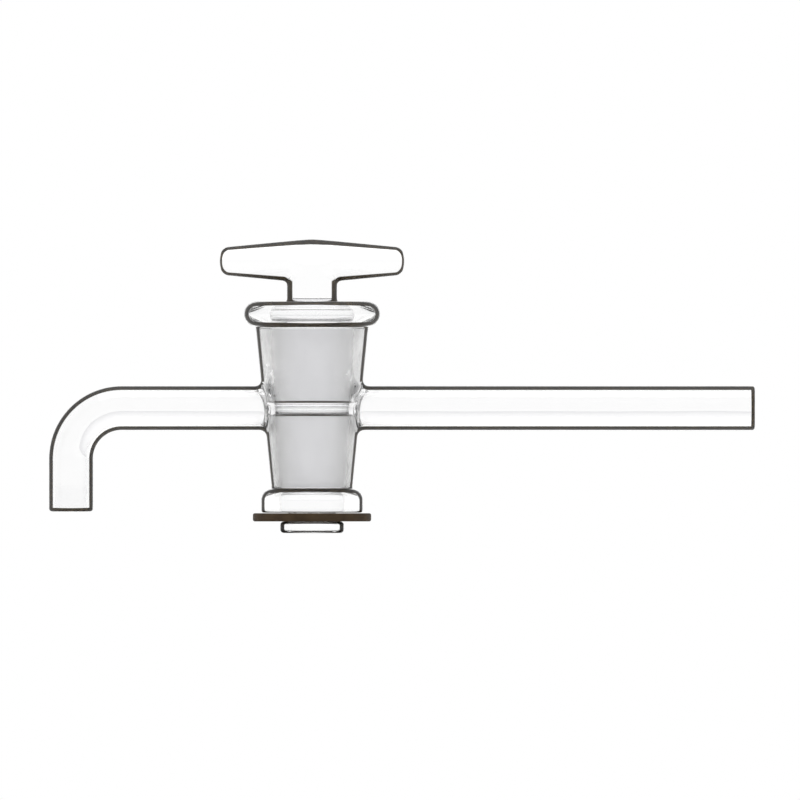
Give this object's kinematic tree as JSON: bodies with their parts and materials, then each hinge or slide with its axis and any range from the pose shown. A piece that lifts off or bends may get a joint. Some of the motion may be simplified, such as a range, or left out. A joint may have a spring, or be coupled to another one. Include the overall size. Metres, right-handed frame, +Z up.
{
  "type": "glass stopcock",
  "caption": "Glass stopcock: tapered barrel with a straight inlet arm and a bent outlet arm, and a T-handled ground glass key that turns to open or shut the flow.",
  "frame": {"origin": "centre of the inlet arm's open end, on the arm's axis", "axes": "+X along the arms, out of the inlet's mouth; +Z up along the key's axis, towards the handle; the outlet leg opens downwards, towards -Z"},
  "size_m": [0.1283, 0.0246, 0.0533],
  "materials": {
    "body_glass": "clear borosilicate glass, fire-polished, ground inside the barrel",
    "key_glass": "clear borosilicate glass, its taper ground to a fine frost above and below the bore",
    "black_rubber": "moulded dark brown-black rubber, satin"
  },
  "bodies": {
    "body": {"barrel": "body_glass", "inlet_tube": "body_glass", "outlet_tube": "body_glass"},
    "key": {"key_plug": "key_glass", "key_handle": "key_glass", "retaining_washer": "black_rubber"}
  },
  "joints": [
    {"name": "key_turn", "type": "hinge", "parent": "body", "child": "key", "pos_m": [-0.0805, 0, 0], "axis": [0, 0, 1], "continuous": true}
  ]
}
